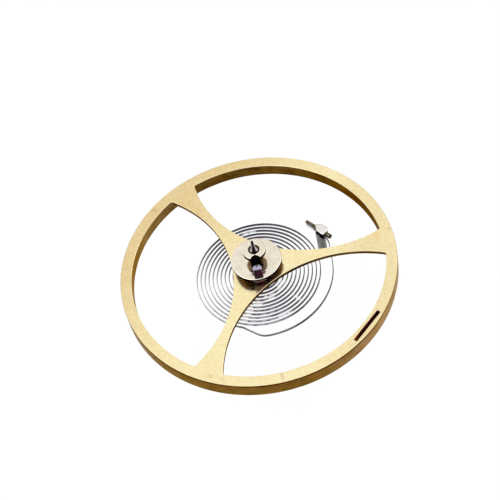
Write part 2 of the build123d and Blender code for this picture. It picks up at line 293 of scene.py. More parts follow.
def neckReflectionPainted():
    # Neck of the safety roller, burnished, with a painted reflection: black in front and behind, brown at
    # its two sides
    made, tree = newMaterial("rollerNeck", 1.0, 0.2, "#150c0b")
    sides = ramp(tree, aroundStaff(tree)[0], 0.62, 0.8)
    paintedDark = mottled(tree, 0.1, "#0b0606", "#1b0f0e")
    return coloured(made, blend(tree, sides, paintedDark, "#8b7a60"), "#1b0f0e")


def rollerRim():
    # Edge of the safety roller: pale polished steel, with painted shade making it brown, and darkest, round
    # the notch
    made, tree = newMaterial("rollerRim", 1.0, 0.25, "#9c9082")
    return coloured(made, marked(tree, mottled(tree, 0.2, "#a89a88", "#bfb3a5"), notchShade), "#3a2a20")


def staffHardened():
    # Hardened steel, burnished between laps, with a painted reflection: black, with painted highlights down
    # two sides of its cones and a painted pale arc behind them
    made, tree = newMaterial("staffReflectionPainted", 1.0, 0.2, "#3b3431")
    side, radius = aroundStaff(tree)
    paintedDark = mottled(tree, 0.1, "#0d0809", "#241b1c")
    lights = blend(tree, ramp(tree, side, 0.45, 0.62), paintedDark, "#d6d1d2")
    lights = blend(tree, ramp(tree, side, 0.75, 0.92), lights, "#8a8384")
    cone = blend(tree, ramp(tree, radius, 0.046 * mm, 0.052 * mm), "#0e0a0b", lights)
    behind = blend(tree, towards(tree, 115, 0.06, 0.13), "#180e0c", "#b5ada5")
    onShoulder = ramp(tree, radius, 0.157 * mm, 0.17 * mm)
    return coloured(made, blend(tree, onShoulder, cone, behind), "#2b2224")


def rubyBody():
    # Synthetic ruby, polished: deep wine purple that shows light only at its edges
    others = {"IOR": rubyBend, "Specular IOR Level": 0.05}
    made, tree = newMaterial("rubyPolished", 0.0, 0.08, "#2c0620", others)
    streaks = ramp(tree, speckle(tree, 0.08, 1.0, (1, 1, 0.3)), 0.35, 0.75)
    return coloured(made, blend(tree, streaks, "#16010e", "#560a35"))


def rubyTop():
    # End of the ruby, rough, with a painted reflection that makes it lavender, and one dark fleck
    made, tree = newMaterial("rubyTopReflection", 0.0, 0.35, "#aca2c0", {"IOR": rubyBend})
    return coloured(made, marked(tree, mottled(tree, 0.07, "#9f95b8", "#c3b9cd"), [jewelFleck]))


def shellacGlossy():
    # Shellac melted round the jewel: pinkish brown, wet gloss, with painted shade making it dark underneath
    others = {"IOR": 1.52, "Subsurface Weight": 0.2, "Subsurface Scale": 0.1 * mm}
    made, tree = newMaterial("shellacMelted", 0.0, 0.12, "#7a3540", others)
    clouds = mottled(tree, 0.12, "#5e2230", "#8c4655")
    return coloured(made, blend(tree, facingUp(tree, -0.7, -0.2), "#1e070b", clouds))


def brass(name, dark, pale, roughness, shadeBelow=None):
    # Free-cutting brass turned on a lathe and a little tarnished, with painted shade making it black
    # underneath
    made, tree = newMaterial(name, 1.0, roughness, pale)
    toneAndShade = mottled(tree, 0.18, dark, pale, 0.35)
    if shadeBelow:
        toneAndShade = blend(tree, facingUp(tree, 0.1, 0.75), shadeBelow, toneAndShade)
    roughen(tree, 0.03, 0.0008)
    return coloured(made, toneAndShade)


def springAlloy():
    # Spring alloy rolled to ribbon: grey faces with a violet cast, a painted sheen and painted highlights
    # making them silvery, and round top edges with their own colour, a painted highlight; beyond the stud a
    # painted reflection makes the faces pale with a darker foot
    made, tree = newMaterial("springAlloyRolled", 1.0, 0.3, "#66646e")
    tone = mottled(tree, 0.9, "#3a3842", "#615f6a", 0.35, 0.65)
    # painted sheen: paler faces on one side of the coil and on the outer turns of another
    paintedSheen = addNode(tree, "Attribute", attribute_name="paintedSheen").outputs["Fac"]
    spotty = numberMath(tree, "MULTIPLY", paintedSheen, ramp(tree, speckle(tree, 0.22), 0.36, 0.56))
    dashes = ramp(tree, speckle(tree, 0.12), 0.32, 0.5)
    # painted highlights: white patches on the faces
    mask = marked(tree, "#000000", [(*highlight[:5], "#ffffff", highlight[5]) for highlight in springHighlights])
    patches = numberMath(tree, "MULTIPLY", mask, dashes)
    faces = blend(tree, patches, blend(tree, spotty, tone, "#b9b6c1"), "#f2f1f4")
    # painted reflection: beyond the stud the faces are pale, with a darker foot
    beyondStud = towards(tree, 60, 2.4, 2.45)
    height = addNode(tree, "SeparateXYZ", {0: ownPlace(tree)}).outputs["Z"]
    foot = ramp(tree, height, (springLevel - 0.01) * mm, (springLevel - 0.025) * mm)
    faces = blend(tree, beyondStud, faces, blend(tree, foot, "#cfcdd3", "#6f6d76"))
    # painted highlight: the top edges are lighter towards -X and -Y
    edges = blend(tree, towards(tree, 212, 0.2, 1.5), "#5b5964", "#c6c4cb")
    edges = blend(tree, beyondStud, blend(tree, patches, edges, "#f2f1f4"), "#aeacb3")
    return coloured(made, blend(tree, facingUp(tree, 0.5, 0.8), faces, edges))


# marks that the photograph shows: place, half sizes, turn, colour and strength
wheelMarks = [
    (4.38, 0.28, 0.15, 0.3, 0, "#e8c377", 0.35),
    (4.87, 0.47, 0.04, 0.05, 0, "#9a7f4a", 0.8),
    (-3.42, 3.4, 0.1, 0.16, 45, "#b79c6c", 0.35),
    (-4.0, 2.55, 0.1, 0.28, 58, "#f3e6b8", 0.25),
    (0.16, -4.75, 0.08, 0.2, 8, "#e0bfa0", 0.55),
    (-2.26, -4.2, 0.12, 0.1, 0, "#dcb66c", 0.4),
    (-1.85, -4.38, 0.08, 0.08, 0, "#e2c07c", 0.4),
]
# painted highlights on the spring's faces, which need no colour: place, half sizes, turn and strength
springHighlights = [
    (0.71, -0.64, 0.12, 0.38, -42, 0.95),
    (0.22, -1.06, 0.15, 0.3, -78, 0.95),
    (-0.25, -1.28, 0.18, 0.24, -101, 0.95),
    (-0.57, -1.49, 0.28, 0.16, -111, 0.9),
    (-0.8, -1.8, 0.22, 0.17, -114, 0.8),
    (0.64, -1.97, 0.12, 0.36, -72, 0.9),
    (1.17, -1.34, 0.2, 0.09, -49, 0.8),
    (-0.1, 1.92, 0.1, 0.32, 93, 0.8),
]
jewelFleck = (0, -0.615, 0.07, 0.13, 0, "#16031a", 1.0)
# painted shade under the table, darkest round the jewel
underShade = (0.03, -0.7, 0.5, 0.5, 0, "#30090e", 1.0)
# painted shade on the safety roller's rim, round the notch
notchShade = [(-0.12, -0.36, 0.72, 0.6, 0, "#65533c", 1.0), (0, -0.41, 0.34, 0.26, 0, "#2b170f", 1.0)]
rubyBend = 1.77  # index of refraction

# finishes of each piece, which its faces name by number
gilt = [
    giltGrained(),
    # painted shade: the inner walls get darker colours than the outer ones
    giltTurned("giltTurnedOuter", ("#684b22", "#85622f"), ("#9c7c56", "#b49470"), -10, "#ecd6b2"),
    giltTurned("giltTurnedInner", ("#4b3413", "#6c4e22"), ("#8a6e48", "#a4865c"), 180, "#d2b481"),
    giltCut(),
    giltWornEdge(),
    giltMilled(),
]
rollerSteel = [
    polishedSteel("rollerPolished", "#f1e8d8", "#e5dac8", 0.12),
    # painted shade: the rollers' walls and bores are dark, a painted reflection
    polishedSteel("rollerWallShade", "#1c120e", "#0d0706", 0.3, "#0d0706"),
    rollerCut(),
    rollerUnder(),
    # painted shade: the safety roller's underside is darker than its top
    polishedSteel("rollerUndersideShade", "#a3927c", "#8b7a66", 0.3, "#a3927c"),
    neckReflectionPainted(),
    rollerRim(),
]
staffSteel = [staffHardened()]
ruby = [rubyTop(), rubyBody()]
shellac = [shellacGlossy()]
colletBrass = [brass("colletBrass", "#8f7442", "#c2a268", 0.32)]
pinBrass = [
    brass("pinBrass", "#5f5340", "#7f7159", 0.36, "#0f0a06"),
    brass("pinEnd", "#14100c", "#2a231a", 0.5),
]
springSteel = [springAlloy()]
studSteel = [
    polishedSteel("studPolished", "#f6f3ef", "#e4e0da", 0.14),
    polishedSteel("studTurned", "#7c7975", "#5f5c59", 0.3),
    # painted shade: the head's walls are dark, a painted reflection, and its far edges darker
    polishedSteel("studWallShade", "#2a2021", "#170f10", 0.25, "#170f10"),
    polishedSteel("studFarEdgeShade", "#7b6a60", "#5e4d44", 0.3),
]
print("materials made")


# Outlines and walls

weldGap = 1e-5
smoothUpTo = radians(40)


def arc(centre, radius, start, end, steps):
    # points along an arc, without its last one; angles in degrees
    turns = [radians(start + (end - start) * step / steps) for step in range(steps)]
    return [Vector(centre) + radius * Vector((cos(t), sin(t))) for t in turns]


def circle(radius, steps):
    return arc((0, 0), radius, 0, 360, steps)


def turnedBy(points, turn):
    spin = Matrix.Rotation(radians(turn), 2)
    return [spin @ point for point in points]


def spun(turn, axis="Z"):
    return Matrix.Rotation(radians(turn), 4, axis)


def inset(outline, depth):
    # the outline moved into the material, which lies on its left
    moved = []
    for before, point, after in zip(outline[-1:] + outline[:-1], outline, outline[1:] + outline[:1]):
        along = [(point - before).normalized(), (after - point).normalized()]
        outward = [Vector((a.y, -a.x)) for a in along]
        mitre = (outward[0] + outward[1]) / (1 + outward[0].dot(outward[1]))
        moved.append(point - mitre * depth)
    return moved


def quarterTurn(steps):
    return [radians(90 * step / steps) for step in range(steps + 1)]


def rounded(size, height, down=False, steps=3):
    # insets and heights round an edge, from the wall to the flat face or the other way
    turns = quarterTurn(steps)
    if down:
        return [(size * (1 - cos(t)), height + size * (1 - sin(t))) for t in reversed(turns)]
    return [(size * (1 - cos(t)), height - size * (1 - sin(t))) for t in turns]


def join(bm, rings, finishes):
    for number, (low, high) in enumerate(zip(rings, rings[1:])):
        for index in range(len(low)):
            after = (index + 1) % len(low)
            corners = [low[index], low[after], high[after], high[index]]
            face = bm.faces.new(list(dict.fromkeys(corners)))
            face.material_index = finishes[number] if number < len(finishes) else finishes[-1]


def wall(bm, outline, steps, finishes=(0,)):
    # strips between copies of an outline, each at an inset and a height
    rings = [[bm.verts.new((p.x, p.y, height)) for p in inset(outline, depth)] for depth, height in steps]
    join(bm, rings, finishes)
    return rings


def cap(bm, rings, up, finish=0):
    # flat face inside the first ring and outside the others
    corners = [v for ring in rings for v in ring]
    for trio in tessellate_polygon([[v.co for v in ring] for ring in rings]):
        face = bm.faces.new([corners[index] for index in trio])
        face.material_index = finish
        face.normal_update()
        if (face.normal.z > 0) != up:
            face.normal_flip()


def prism(bm, outline, steps, finishes=(0,), ends=(0, 0)):
    # a wall closed by two flat faces
    rings = wall(bm, outline, steps, finishes)
    cap(bm, [rings[0]], up=False, finish=ends[0])
    cap(bm, [rings[-1]], up=True, finish=ends[1])


def turned(bm, profile, segments, finishes=(0,)):
    # a lathe shape about Z from radii and heights, closed at both ends
    rings = []
    for radius, height in profile:
        if radius:
            rings.append([bm.verts.new((p.x, p.y, height)) for p in circle(radius, segments)])
        else:
            rings.append([bm.verts.new((0, 0, height))] * segments)
    join(bm, rings, finishes)


def linked(name, data):
    made = bpy.data.objects.new(name, data)
    bpy.context.scene.collection.objects.link(made)
    return made


def toObject(name, bm, materials):
    bmesh.ops.remove_doubles(bm, verts=bm.verts, dist=weldGap)
    for face in bm.faces:
        face.smooth = True
    for edge in bm.edges:
        edge.smooth = len(edge.link_faces) == 2 and edge.calc_face_angle() < smoothUpTo
    bm.transform(Matrix.Scale(mm, 4))
    mesh = bpy.data.meshes.new(name)
    bm.to_mesh(mesh)
    bm.free()
    for material in materials:
        mesh.materials.append(material)
    return linked(name, mesh)


def applied(obj):
    # the object with its modifiers' result as a plain mesh
    bpy.context.view_layer.update()
    result = bpy.data.meshes.new_from_object(obj.evaluated_get(bpy.context.evaluated_depsgraph_get()))
    obj.modifiers.clear()
    obj.data = result
    return obj


def weighted(obj):
    # normals weighted by area, so that broken edges shade round and faces stay flat
    modifier = obj.modifiers.new("flats", "WEIGHTED_NORMAL")
    modifier.keep_sharp = True
    return applied(obj)


def booleanWith(obj, cutter, operation):
    modifier = obj.modifiers.new(operation.lower(), "BOOLEAN")
    modifier.operation = operation
    modifier.solver = "EXACT"
    modifier.object = cutter
    applied(obj)
    bpy.data.objects.remove(cutter)
    return obj


def fit(obj, body, node):
    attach(obj, body)
    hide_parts(node)
    print("made", obj.name)


# Balance wheel

wheel = {
    "rimWidth": 0.405,
    "underBevel": 0.1,
    "edge": 0.03,
    "topEdge": 0.008,
    "wornWidth": 0.07,
    "windowEdge": 0.016,
    "armCount": 3,
    "armThickness": 0.15,
    "armRimWidth": 1.08,
    "waistToAxis": 0.91,
    "cornerRadius": 0.07,
    "bore": 0.32,
    "boreSteps": 48,
    "slotTurn": -45.7,
    "slotLength": 1.43,
    "slotWidth": 0.143,
    "slotDepth": 0.3,
    "slotWall": 0.155,
    "slotEdge": 0.012,
    "rimSteps": 150,
    "armSteps": 20,
    "waistSteps": 90,
    "cornerSteps": 6,
}


def windowParts(w, inner):
    # arcs of one window about +X, counter-clockwise: rim, corner, waist, corner
    half = degrees(asin(w["armRimWidth"] / 2 / inner))
    corner = direction(180 / w["armCount"] - half) * inner
    rise, small, n = corner.x - w["waistToAxis"], w["cornerRadius"], w["cornerSteps"]
    waistRadius = (rise ** 2 + corner.y ** 2) / (2 * rise)
    centre = w["waistToAxis"] + waistRadius
    toAxis, toWaist = inner - small, waistRadius - small
    along = (toAxis ** 2 - toWaist ** 2 + centre ** 2) / (2 * centre)
    beside = sqrt(toAxis ** 2 - along ** 2)
    rimTurn = degrees(atan2(beside, along))
    waistTurn = degrees(atan2(beside, along - centre))
    rimArc = arc((0, 0), inner, -rimTurn, rimTurn, w["rimSteps"])
    inwards = arc((along, beside), small, rimTurn, waistTurn, n)
    inwards += arc((centre, 0), waistRadius, waistTurn, 360 - waistTurn, w["waistSteps"])
    inwards += arc((along, -beside), small, -waistTurn, -rimTurn, n)
    return rimArc, inwards, rimTurn


def balanceWheel(w):
    bm = bmesh.new()
    radius, top, bottom = wheelHigh.x, wheelHigh.z, wheelLow.z
    inner = radius - w["rimWidth"]
    underside = top - w["armThickness"]
    step = 360 / w["armCount"]
    rimArc, inwards, rimTurn = windowParts(w, inner)
    innerCircle, underOutline, windows = [], [], []
    for turn in [step * (number + 0.5) for number in range(w["armCount"])]:
        armArc = arc((0, 0), inner, rimTurn, step - rimTurn, w["armSteps"])
        innerCircle += turnedBy(rimArc + armArc, turn)
        underOutline += turnedBy(armArc, turn) + turnedBy((inwards + rimArc[:1])[::-1][:-1], turn + step)
        windows.append(turnedBy(rimArc + inwards, turn)[::-1])

    steps = rounded(w["edge"], bottom, down=True) + [(0, top - w["wornWidth"])] + rounded(w["topEdge"], top)
    outer = wall(bm, circle(radius, len(innerCircle)), steps, (1, 1, 1, 1, 4, 4, 4, 4))
    steps = [(w["underBevel"], bottom), (0, bottom + w["underBevel"]), (0, underside)]
    hollow = wall(bm, innerCircle[::-1], steps, (2, 2))
    cap(bm, [outer[0], hollow[0]], up=False)

    topRings = [outer[-1]]
    for outline in windows:
        steps = [(0, underside)] + rounded(w["windowEdge"], top)
        topRings.append(wall(bm, outline, steps, (2, 3, 3, 3))[-1])
    bore = wall(bm, circle(w["bore"], w["boreSteps"])[::-1], [(0, underside), (0, top)], (2,))
    cap(bm, [[bm.verts.new((p.x, p.y, underside)) for p in underOutline], bore[0]], up=False)

    across, along = w["slotWidth"] / 2, w["slotLength"] / 2
    middle = radius - w["slotWall"] - across
    corners = [Vector((middle + x, y)) for x, y in
               ((-across, -along), (-across, along), (across, along), (across, -along))]
    steps = [(0, top - w["slotDepth"])] + rounded(w["slotEdge"], top)
    slot = wall(bm, turnedBy(corners, w["slotTurn"]), steps, (5, 3, 3, 3))
    cap(bm, [slot[0]], up=True, finish=5)
    cap(bm, topRings + [bore[-1], slot[-1]], up=True)
    return weighted(toObject("wheelGilt", bm, gilt))


fit(balanceWheel(wheel), "balance", "balance_wheel")


# Staff

staff = {
    "pivot": 0.045,
    "pivotLength": 0.14,
    "pivotRound": 0.03,
    "pivotSteps": 4,
    "cone": 0.19,
    "coneLength": 0.33,
    "coneHollow": 0.0145,
    "coneSteps": 10,
    "colletSeat": 0.27,
    "seatEdge": 0.04,
    "wheelSeat": 0.32,
    "rivet": 0.37,
    "rivetHeight": 0.04,
    "hub": 0.45,
    "hubEdge": 0.03,
    "rollerSeat": 0.2,
    "shoulderEdge": 0.006,
    "segments": 96,
}


def staffCone(s, start, end):
    # hollow cone from one radius and height to another
    points = []
    for step in range(s["coneSteps"] + 1):
        t = step / s["coneSteps"]
        sag = 4 * s["coneHollow"] * t * (1 - t)
        points.append((start[0] + (end[0] - start[0]) * t - sag, start[1] + (end[1] - start[1]) * t))
    return points


def pivotTip(s, tip, sign):
    # rounded end of a pivot, from the axis outwards
    size, flat, turns = s["pivotRound"], s["pivot"] - s["pivotRound"], quarterTurn(s["pivotSteps"])
    return [(0, tip)] + [(flat + size * sin(t), tip + sign * size * (1 - cos(t))) for t in turns]


def balanceStaff(s):
    underside, top, tip = wheelHigh.z - wheel["armThickness"], wheelHigh.z, staffHigh.z
    coneStart, coneEnd = s["pivotLength"], s["pivotLength"] + s["coneLength"]
    small, middle, hub, shoulder = s["colletSeat"], s["wheelSeat"], s["hub"], s["rollerSeat"]
    profile = pivotTip(s, 0, 1)
    profile += staffCone(s, (s["pivot"], coneStart), (s["cone"], coneEnd))
    profile += [
        (small - s["seatEdge"], coneEnd),
        (small, coneEnd + s["seatEdge"]),
        (small, underside - s["rivetHeight"]),
        (middle, underside - s["rivetHeight"]),
        (s["rivet"], underside),
        (middle, underside),
        (middle, top),
        (hub, top),
        (hub, tableLow.z - s["hubEdge"]),
        (hub - s["hubEdge"], tableLow.z),
        (shoulder, tableLow.z),
        (shoulder, safetyHigh.z - s["shoulderEdge"]),
        (shoulder - s["shoulderEdge"], safetyHigh.z),
    ]
    profile += staffCone(s, (s["cone"], tip - coneEnd), (s["pivot"], tip - coneStart))
    profile += pivotTip(s, tip, -1)[::-1]
    bm = bmesh.new()
    turned(bm, profile, s["segments"])
    return weighted(toObject("staffSteel", bm, staffSteel))


fit(balanceStaff(staff), "balance", "balance_staff")


# Double roller and jewel

roller = {
    "tableEdge": 0.018,
    "tableUnderEdge": 0.012,
    "bore": 0.2,
    "boreEdge": 0.008,
    "safetyThickness": 0.16,
    "safetyEdge": 0.013,
    "neck": 0.25,
    "notch": 0.165,
    "notchRound": 0.02,
    "notchSteps": 40,
    "hornSteps": 6,
    "segments": 160,
    "boreSegments": 64,
}
jewel = {"radius": 0.16, "flat": 0.065, "edge": 0.012, "room": 0.004, "segments": 28}
bead = {"radius": 0.25, "round": 0.065, "tableInset": 0.025, "hubRoom": 0.005, "steps": 14, "segments": 72}
jewelPlace = Vector((0, jewelLow.y + jewel["flat"]))


def jewelOutline(j, grow=0.0):
    # D shape with its flat towards -Y, counter-clockwise about the jewel's own centre
    radius, flat = j["radius"] + grow, j["flat"] + grow
    start = degrees(asin(-flat / radius))
    outline = arc((0, 0), radius, start, 180 - start, j["segments"])
    outline.append(Vector((-sqrt(radius ** 2 - flat ** 2), -flat)))
    return [point + jewelPlace for point in outline]


def rollerTable(r):
    bm = bmesh.new()
    low, high = tableLow.z, tableHigh.z
    steps = rounded(r["tableUnderEdge"], low, down=True) + rounded(r["tableEdge"], high)
    outer = wall(bm, circle(tableHigh.x, r["segments"]), steps, (1, 1, 1, 1, 2, 2, 2))
    bore = wall(bm, circle(r["bore"], r["boreSegments"])[::-1], [(0, low), (0, high)], (1,))
    hole = wall(bm, jewelOutline(jewel, jewel["room"])[::-1], [(0, low), (0, high)], (1,))
    cap(bm, [outer[0], bore[0], hole[0]], up=False, finish=3)
    cap(bm, [outer[-1], bore[-1], hole[-1]], up=True)
    return weighted(toObject("rollerTable", bm, rollerSteel))


def safetyOutline(r):
    # disc with the crescent notch towards -Y, its two horns rounded off
    radius, notch, small = safetyHigh.x, r["notch"], r["notchRound"]
    centre = radius  # the notch's centre lies on the disc's edge
    rise = ((radius - small) ** 2 - (notch + small) ** 2 + centre ** 2) / (2 * centre)
    beside = sqrt((radius - small) ** 2 - rise ** 2)
    discTurn = degrees(atan2(beside, rise))
    notchTurn = degrees(atan2(beside, rise - centre))
    points = arc((0, 0), radius, discTurn, 360 - discTurn, r["segments"])
    points += arc((rise, -beside), small, -discTurn, 180 - notchTurn, r["hornSteps"])
    points += arc((centre, 0), notch, 360 - notchTurn, notchTurn, r["notchSteps"])
    points += arc((rise, beside), small, notchTurn - 180, discTurn, r["hornSteps"])
    return turnedBy(points, -90)


def safetyRoller(r):
    bm = bmesh.new()
    low, high = safetyHigh.z - r["safetyThickness"], safetyHigh.z
    steps = rounded(r["safetyEdge"] / 2, low, down=True) + rounded(r["safetyEdge"], high)
    outer = wall(bm, safetyOutline(r), steps, (6, 6, 6, 6, 2, 2, 2))
    steps = [(0, tableHigh.z), (0, high - r["boreEdge"]), (r["boreEdge"], high)]
    bore = wall(bm, circle(r["bore"], r["boreSegments"])[::-1], steps, (1,))
    neck = wall(bm, circle(r["neck"], r["boreSegments"]), [(0, tableHigh.z), (0, low)], (5,))
    cap(bm, [neck[0], bore[0]], up=False, finish=1)
    cap(bm, [outer[0], neck[-1]], up=False, finish=4)
    cap(bm, [outer[-1], bore[-1]], up=True)
    return weighted(toObject("rollerSafety", bm, rollerSteel))


def impulseJewel(j):
    bm = bmesh.new()
    steps = rounded(j["edge"] / 2, jewelLow.z, down=True) + rounded(j["edge"], jewelHigh.z)
    prism(bm, jewelOutline(j), steps, (1, 1, 1, 1, 1, 0, 0), (1, 0))
    return weighted(toObject("jewelRuby", bm, ruby))


def shellacBead(b):
    # what the melted shellac covers: a disc round the jewel, kept on the table and off the hub
    edge = tableHigh.x - b["tableInset"]
    keepOff = staff["hub"] + b["hubRoom"]
    spots = [point + jewelPlace for point in circle(b["radius"], b["segments"])]
    outline = [spot.normalized() * min(max(spot.length, keepOff), edge) for spot in spots]
    low, depth, turns = shellacLow.z, shellacHigh.z - shellacLow.z, quarterTurn(b["steps"])
    steps = [(b["round"] * (1 - sin(t)), low + depth * (1 - cos(t))) for t in turns]
    bm = bmesh.new()
    prism(bm, outline, steps)
    return weighted(toObject("jewelShellac", bm, shellac))


fit(rollerTable(roller), "balance", "roller_table")
fit(safetyRoller(roller), "balance", "safety_roller")
fit(impulseJewel(jewel), "balance", "impulse_jewel")
fit(shellacBead(bead), "balance", "shellac_bead")


# Hairspring: its coil follows a rule, so nodes draw it; its two ends are drawn point by point

spring = {
    "thickness": 0.03,
    "height": 0.1,
    "edgeRound": 0.006,
    "pitch": 0.147,
    "innerRadius": 0.64625,
    "quarterTurns": 46,
    "endTurn": -114.4,
    "stepsPerQuarter": 24,
    "inCollet": 0.43,
    "inColletLength": 0.383,
    "innerBend": 0.15,
    "doglegTurn": 15.5,
    "doglegFirst": 0.35,
    "doglegSecond": 0.6,
    "terminalRadius": 2.665,
    "terminalEndTurn": -2.0,
    "studBend": 0.75,
    "inStud": 2.7053,
    "studAcross": 39.0,
    "endAlong": 0.1244,
    "stepsPerEnd": 24,
    # the painted sheen: its two sides, the radius of its rim, and its ramps
    "sheenSide": 208.0,
    "sheenRim": 263.0,
    "sheenRimRadius": 1.9,
    "sheenCosines": (0.72, 0.97),
    "sheenRimShares": (0.65, 1.28),
}


def turnOf(vector):
    return degrees(atan2(vector.y, vector.x))


def coilPoint(s, quarter):
    # where a quarter turn of the coil starts
    step = s["pitch"] / 4
    start = s["endTurn"] - 90 * s["quarterTurns"]
    centre = direction(start + 135 + 90 * quarter) * step / sqrt(2)
    return centre + direction(start + 90 * quarter) * (s["innerRadius"] + step * quarter)


def innerEnd(s):
    # through the collet and round the bend to the coil
    start, bend, n = s["endTurn"] - 90 * s["quarterTurns"], s["innerBend"], s["stepsPerEnd"]
    elbow = coilPoint(s, 0) - direction(start) * bend
    across = turnOf(elbow) - degrees(acos((s["inCollet"] - bend) / elbow.length))
    tip = direction(across) * s["inCollet"] - direction(across + 90) * s["inColletLength"]
    bendStart = elbow + direction(across) * bend
    straight = [tip.lerp(bendStart, step / n) for step in range(n)]
    return straight + arc(elbow, bend, across, across + (start - across) % 360, n), across


def outerEnd(s):
    # dog-leg out of the coil, the arc beyond it, and the straight end through the stud
    end, n, across, last = s["endTurn"], s["stepsPerEnd"], s["studAcross"], s["terminalEndTurn"]
    small, large, radius, bend = s["doglegFirst"], s["doglegSecond"], s["terminalRadius"], s["studBend"]
    first = coilPoint(s, s["quarterTurns"]) + direction(end) * small
    points = arc(first, small, end + 180, end + 180 - s["doglegTurn"], n)
    heading = end + 90 - s["doglegTurn"]
    left = direction(heading + 90)
    leaving = first + direction(end + 180 - s["doglegTurn"]) * small
    offset = leaving + left * large
    run = sqrt((radius - large) ** 2 - offset.dot(left) ** 2) - offset.dot(direction(heading))
    second = offset + direction(heading) * run
    arriving = second - left * large
    points += [leaving.lerp(arriving, step / n) for step in range(n)]
    points += arc(second, large, heading - 90, turnOf(second), n)
    points += arc((0, 0), radius, turnOf(second), last, 6 * n)
    swing, back = radians(across - last), radius - bend
    run = (s["inStud"] - bend - back * cos(swing)) / sin(swing)
    elbow = direction(last) * back + direction(last + 90) * run
    bendStart = elbow + direction(last) * bend
    points += [(direction(last) * radius).lerp(bendStart, step / n) for step in range(n)]
    points += arc(elbow, bend, last, across, n)
    bendEnd = elbow + direction(across) * bend
    tip = direction(across) * s["inStud"] + direction(across + 90) * s["endAlong"]
    return points + [bendEnd.lerp(tip, step / n) for step in range(n + 1)]


def springTree(s, values):
    tree = bpy.data.node_groups.new("hairspringByRule", "GeometryNodeTree")
    kinds = {int: "Int", float: "Float", tuple: "Vector", bpy.types.Material: "Material"}
    tree.interface.new_socket("Ends", in_out="INPUT", socket_type="NodeSocketGeometry")
    for name, value in values.items():
        tree.interface.new_socket(name, in_out="INPUT", socket_type="NodeSocket" + kinds[type(value)])
    tree.interface.new_socket("Spring", in_out="OUTPUT", socket_type="NodeSocketGeometry")
    given = addNode(tree, "NodeGroupInput").outputs

    def calc(operation, *numbers):
        return numberMath(tree, operation, *numbers)

    def made(kind, inputs=(), **settings):
        return addNode(tree, "GeometryNode" + kind, inputs, **settings).outputs[0]

    def onCircle(turn, radius):
        angle = calc("RADIANS", turn)
        return addNode(tree, "CombineXYZ", {
            "X": calc("MULTIPLY", radius, calc("COSINE", angle)),
            "Y": calc("MULTIPLY", radius, calc("SINE", angle)),
        }).outputs[0]

    def stored(geometry, name, value):
        return made("StoreNamedAttribute", {"Geometry": geometry, "Name": name, "Value": value},
                    data_type="FLOAT", domain="POINT")

    # quarter turns about the four corners of a small square, each one step larger than the last
    number = made("InputIndex")
    share = calc("DIVIDE", number, given["Steps"])
    quarter = calc("FLOOR", share)
    radius = calc("MULTIPLY_ADD", quarter, given["Quarter Step"], given["Inner Radius"])
    turn = calc("MULTIPLY_ADD", share, 90.0, given["Start Turn"])
    centreTurn = calc("ADD", calc("MULTIPLY_ADD", quarter, 90.0, given["Start Turn"]), 135.0)
    centre = onCircle(centreTurn, calc("DIVIDE", given["Quarter Step"], sqrt(2)))
    coil = made("Points", {
        "Count": calc("MULTIPLY", given["Quarter Turns"], given["Steps"]),
        "Position": vectorMath(tree, "ADD", centre, onCircle(turn, radius)),
    })
    joined = addNode(tree, "GeometryNodeJoinGeometry")
    tree.links.new(made("MeshToPoints", {"Mesh": given["Ends"]}), joined.inputs[0])
    tree.links.new(stored(coil, "order", number), joined.inputs[0])
    order = made("InputNamedAttribute", {"Name": "order"}, data_type="FLOAT")
    path = made("PointsToCurves", {"Points": joined.outputs[0], "Weight": order})
    lift = addNode(tree, "CombineXYZ", {"Z": given["Level"]}).outputs[0]
    path = made("SetPosition", {"Geometry": path, "Offset": lift})
    path = stored(path, "along", addNode(tree, "GeometryNodeSplineParameter").outputs["Factor"])
    # painted sheen: how far the faces are painted pale, all turns on one side, and only the outer ones on
    # another
    here = made("InputPosition")
    way = vectorMath(tree, "NORMALIZE", here)
    side, rim = [ramp(tree, vectorMath(tree, "DOT_PRODUCT", way, given[name]), *s["sheenCosines"])
                 for name in ("Sheen Side", "Sheen Rim")]
    away = vectorMath(tree, "LENGTH", here)
    inner, outer = [calc("MULTIPLY", given["Rim Radius"], share) for share in s["sheenRimShares"]]
    outside = addNode(tree, "MapRange", {
        "Value": away, "From Min": inner, "From Max": given["Rim Radius"],
    }).outputs["Result"]
    rim = calc("MULTIPLY", calc("MULTIPLY", rim, outside), calc("LESS_THAN", away, outer))
    path = stored(path, "paintedSheen", calc("MAXIMUM", side, rim))
    path = made("SetCurveNormal", {"Curve": path}, mode="Z_UP")
    section = made("CurvePrimitiveQuadrilateral", {"Width": given["Thickness"], "Height": given["Height"]})
    section = made("FilletCurve", {"Curve": section, "Radius": given["Edge Round"], "Count": 2}, mode="POLY")
    ribbon = made("CurveToMesh", {"Curve": path, "Profile Curve": section, "Fill Caps": True})
    ribbon = made("RealizeInstances", {"Geometry": ribbon})
    ribbon = made("SetMaterial", {"Geometry": ribbon, "Material": given["Material"]})
    addNode(tree, "NodeGroupOutput", {"Spring": ribbon})
    return tree


